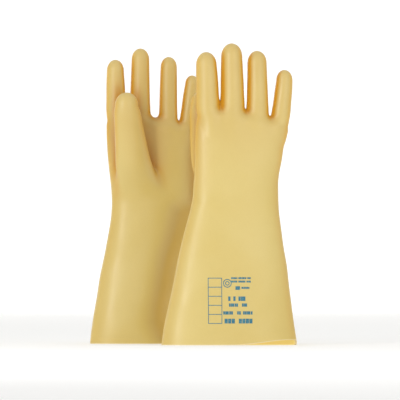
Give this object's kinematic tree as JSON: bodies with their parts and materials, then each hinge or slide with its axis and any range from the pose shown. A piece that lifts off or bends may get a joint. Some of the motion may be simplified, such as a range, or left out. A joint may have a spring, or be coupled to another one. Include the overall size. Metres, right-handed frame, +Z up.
{
  "type": "electrical insulating gloves",
  "caption": "Pair of long natural latex insulating gloves with flared straight-cut cuffs, bending at wrists, fingers and thumbs, and printed date boxes on the cuffs.",
  "frame": {"origin": "centre of the pair's bounding box, on the surface that the cuffs stand on", "axes": "+Z up along the gloves to the fingertips; X across the gloves, from the thumb side to the little-finger side; -Y is the front, where the right-hand glove stands with its back forward"},
  "size_m": [0.2576, 0.232, 0.4093],
  "materials": {
    "latex": "smooth satin natural latex, slightly translucent",
    "ink": "thin matte printed ink"
  },
  "bodies": {
    "left_gauntlet": {"left_gauntlet": "latex", "left_date_grid": "ink"},
    "left_hand": {"left_hand": "latex"},
    "left_index_base": {"left_index_base": "latex"},
    "left_index_middle": {"left_index_middle": "latex"},
    "left_index_tip": {"left_index_tip": "latex"},
    "left_middle_base": {"left_middle_base": "latex"},
    "left_middle_middle": {"left_middle_middle": "latex"},
    "left_middle_tip": {"left_middle_tip": "latex"},
    "left_ring_base": {"left_ring_base": "latex"},
    "left_ring_middle": {"left_ring_middle": "latex"},
    "left_ring_tip": {"left_ring_tip": "latex"},
    "left_little_base": {"left_little_base": "latex"},
    "left_little_middle": {"left_little_middle": "latex"},
    "left_little_tip": {"left_little_tip": "latex"},
    "left_thumb_base": {"left_thumb_base": "latex"},
    "left_thumb_tip": {"left_thumb_tip": "latex"},
    "right_gauntlet": {"right_gauntlet": "latex", "right_date_grid": "ink"},
    "right_hand": {"right_hand": "latex"},
    "right_index_base": {"right_index_base": "latex"},
    "right_index_middle": {"right_index_middle": "latex"},
    "right_index_tip": {"right_index_tip": "latex"},
    "right_middle_base": {"right_middle_base": "latex"},
    "right_middle_middle": {"right_middle_middle": "latex"},
    "right_middle_tip": {"right_middle_tip": "latex"},
    "right_ring_base": {"right_ring_base": "latex"},
    "right_ring_middle": {"right_ring_middle": "latex"},
    "right_ring_tip": {"right_ring_tip": "latex"},
    "right_little_base": {"right_little_base": "latex"},
    "right_little_middle": {"right_little_middle": "latex"},
    "right_little_tip": {"right_little_tip": "latex"},
    "right_thumb_base": {"right_thumb_base": "latex"},
    "right_thumb_tip": {"right_thumb_tip": "latex"}
  },
  "joints": [
    {"name": "left_wrist_bend", "type": "hinge", "parent": "left_gauntlet", "child": "left_hand", "pos_m": [-0.04015, 0.085, 0.204], "axis": [1, 0, 0], "range_deg": [-30, 30], "stiffness_Nm_per_rad": 6},
    {"name": "left_index_root_bend", "type": "hinge", "parent": "left_hand", "child": "left_index_base", "pos_m": [-0.09316, 0.08485, 0.3395], "axis": [1, 0, 0], "range_deg": [-10, 45], "stiffness_Nm_per_rad": 0.5},
    {"name": "left_index_middle_bend", "type": "hinge", "parent": "left_index_base", "child": "left_index_middle", "pos_m": [-0.09387, 0.08344, 0.36449], "axis": [1, 0, 0], "range_deg": [0, 50], "stiffness_Nm_per_rad": 0.35},
    {"name": "left_index_tip_bend", "type": "hinge", "parent": "left_index_middle", "child": "left_index_tip", "pos_m": [-0.09436, 0.08158, 0.38175], "axis": [1, 0, 0], "range_deg": [0, 30], "stiffness_Nm_per_rad": 0.25},
    {"name": "left_middle_root_bend", "type": "hinge", "parent": "left_hand", "child": "left_middle_base", "pos_m": [-0.059, 0.0849, 0.3375], "axis": [1, 0, 0], "range_deg": [-10, 45], "stiffness_Nm_per_rad": 0.5},
    {"name": "left_middle_middle_bend", "type": "hinge", "parent": "left_middle_base", "child": "left_middle_middle", "pos_m": [-0.05915, 0.08352, 0.36795], "axis": [1, 0, 0], "range_deg": [0, 50], "stiffness_Nm_per_rad": 0.35},
    {"name": "left_middle_tip_bend", "type": "hinge", "parent": "left_middle_middle", "child": "left_middle_tip", "pos_m": [-0.05925, 0.08164, 0.38897], "axis": [1, 0, 0], "range_deg": [0, 30], "stiffness_Nm_per_rad": 0.25},
    {"name": "left_ring_root_bend", "type": "hinge", "parent": "left_hand", "child": "left_ring_base", "pos_m": [-0.01933, 0.08489, 0.33], "axis": [1, 0, 0], "range_deg": [-10, 45], "stiffness_Nm_per_rad": 0.5},
    {"name": "left_ring_middle_bend", "type": "hinge", "parent": "left_ring_base", "child": "left_ring_middle", "pos_m": [-0.0193, 0.08351, 0.3594], "axis": [1, 0, 0], "range_deg": [0, 50], "stiffness_Nm_per_rad": 0.35},
    {"name": "left_ring_tip_bend", "type": "hinge", "parent": "left_ring_middle", "child": "left_ring_tip", "pos_m": [-0.01928, 0.08163, 0.3797], "axis": [1, 0, 0], "range_deg": [0, 30], "stiffness_Nm_per_rad": 0.25},
    {"name": "left_little_root_bend", "type": "hinge", "parent": "left_hand", "child": "left_little_base", "pos_m": [0.00984, 0.08479, 0.327], "axis": [1, 0, 0], "range_deg": [-10, 45], "stiffness_Nm_per_rad": 0.5},
    {"name": "left_little_middle_bend", "type": "hinge", "parent": "left_little_base", "child": "left_little_middle", "pos_m": [0.01201, 0.08332, 0.34695], "axis": [1, 0, 0], "range_deg": [0, 50], "stiffness_Nm_per_rad": 0.35},
    {"name": "left_little_tip_bend", "type": "hinge", "parent": "left_little_middle", "child": "left_little_tip", "pos_m": [0.01368, 0.08149, 0.36072], "axis": [1, 0, 0], "range_deg": [0, 30], "stiffness_Nm_per_rad": 0.25},
    {"name": "left_thumb_root_bend", "type": "hinge", "parent": "left_hand", "child": "left_thumb_base", "pos_m": [-0.077, 0.0455, 0.277], "axis": [0, -0.9748, -0.2233], "range_deg": [-25, 30], "stiffness_Nm_per_rad": 0.8},
    {"name": "left_thumb_tip_bend", "type": "hinge", "parent": "left_thumb_base", "child": "left_thumb_tip", "pos_m": [-0.08246, 0.0384, 0.308], "axis": [0, -0.9748, -0.2233], "range_deg": [-40, 0], "stiffness_Nm_per_rad": 0.5},
    {"name": "right_wrist_bend", "type": "hinge", "parent": "right_gauntlet", "child": "right_hand", "pos_m": [0.04485, -0.085, 0.204], "axis": [-1, 0, 0], "range_deg": [-30, 30], "stiffness_Nm_per_rad": 6},
    {"name": "right_index_root_bend", "type": "hinge", "parent": "right_hand", "child": "right_index_base", "pos_m": [0.00604, -0.08485, 0.3395], "axis": [-1, 0, 0], "range_deg": [-10, 45], "stiffness_Nm_per_rad": 0.5},
    {"name": "right_index_middle_bend", "type": "hinge", "parent": "right_index_base", "child": "right_index_middle", "pos_m": [0.00533, -0.08344, 0.36449], "axis": [-1, 0, 0], "range_deg": [0, 50], "stiffness_Nm_per_rad": 0.35},
    {"name": "right_index_tip_bend", "type": "hinge", "parent": "right_index_middle", "child": "right_index_tip", "pos_m": [0.00484, -0.08158, 0.38175], "axis": [-1, 0, 0], "range_deg": [0, 30], "stiffness_Nm_per_rad": 0.25},
    {"name": "right_middle_root_bend", "type": "hinge", "parent": "right_hand", "child": "right_middle_base", "pos_m": [0.0402, -0.0849, 0.3375], "axis": [-1, 0, 0], "range_deg": [-10, 45], "stiffness_Nm_per_rad": 0.5},
    {"name": "right_middle_middle_bend", "type": "hinge", "parent": "right_middle_base", "child": "right_middle_middle", "pos_m": [0.04005, -0.08352, 0.36795], "axis": [-1, 0, 0], "range_deg": [0, 50], "stiffness_Nm_per_rad": 0.35},
    {"name": "right_middle_tip_bend", "type": "hinge", "parent": "right_middle_middle", "child": "right_middle_tip", "pos_m": [0.03995, -0.08164, 0.38897], "axis": [-1, 0, 0], "range_deg": [0, 30], "stiffness_Nm_per_rad": 0.25},
    {"name": "right_ring_root_bend", "type": "hinge", "parent": "right_hand", "child": "right_ring_base", "pos_m": [0.07486, -0.08489, 0.33], "axis": [-1, 0, 0], "range_deg": [-10, 45], "stiffness_Nm_per_rad": 0.5},
    {"name": "right_ring_middle_bend", "type": "hinge", "parent": "right_ring_base", "child": "right_ring_middle", "pos_m": [0.0749, -0.08351, 0.3594], "axis": [-1, 0, 0], "range_deg": [0, 50], "stiffness_Nm_per_rad": 0.35},
    {"name": "right_ring_tip_bend", "type": "hinge", "parent": "right_ring_middle", "child": "right_ring_tip", "pos_m": [0.07492, -0.08163, 0.3797], "axis": [-1, 0, 0], "range_deg": [0, 30], "stiffness_Nm_per_rad": 0.25},
    {"name": "right_little_root_bend", "type": "hinge", "parent": "right_hand", "child": "right_little_base", "pos_m": [0.10879, -0.08479, 0.327], "axis": [-1, 0, 0], "range_deg": [-10, 45], "stiffness_Nm_per_rad": 0.5},
    {"name": "right_little_middle_bend", "type": "hinge", "parent": "right_little_base", "child": "right_little_middle", "pos_m": [0.11121, -0.08332, 0.34695], "axis": [-1, 0, 0], "range_deg": [0, 50], "stiffness_Nm_per_rad": 0.35},
    {"name": "right_little_tip_bend", "type": "hinge", "parent": "right_little_middle", "child": "right_little_tip", "pos_m": [0.11288, -0.08149, 0.36072], "axis": [-1, 0, 0], "range_deg": [0, 30], "stiffness_Nm_per_rad": 0.25},
    {"name": "right_thumb_root_bend", "type": "hinge", "parent": "right_hand", "child": "right_thumb_base", "pos_m": [0.01255, -0.0455, 0.277], "axis": [0, -0.9748, 0.2233], "range_deg": [-25, 30], "stiffness_Nm_per_rad": 0.8},
    {"name": "right_thumb_tip_bend", "type": "hinge", "parent": "right_thumb_base", "child": "right_thumb_tip", "pos_m": [0.00985, -0.0384, 0.308], "axis": [0, -0.9748, 0.2233], "range_deg": [-40, 0], "stiffness_Nm_per_rad": 0.5},
    {"name": "part_gloves", "type": "slide", "parent": "left_gauntlet", "child": "right_gauntlet", "axis": [1, 0, 0], "range_m": [0, 0.25]}
  ],
  "couplings": [
    {"joint": "left_index_tip_bend", "follows": "left_index_middle_bend", "ratio": 0.6},
    {"joint": "left_middle_tip_bend", "follows": "left_middle_middle_bend", "ratio": 0.6},
    {"joint": "left_ring_tip_bend", "follows": "left_ring_middle_bend", "ratio": 0.6},
    {"joint": "left_little_tip_bend", "follows": "left_little_middle_bend", "ratio": 0.6},
    {"joint": "right_index_tip_bend", "follows": "right_index_middle_bend", "ratio": 0.6},
    {"joint": "right_middle_tip_bend", "follows": "right_middle_middle_bend", "ratio": 0.6},
    {"joint": "right_ring_tip_bend", "follows": "right_ring_middle_bend", "ratio": 0.6},
    {"joint": "right_little_tip_bend", "follows": "right_little_middle_bend", "ratio": 0.6}
  ]
}
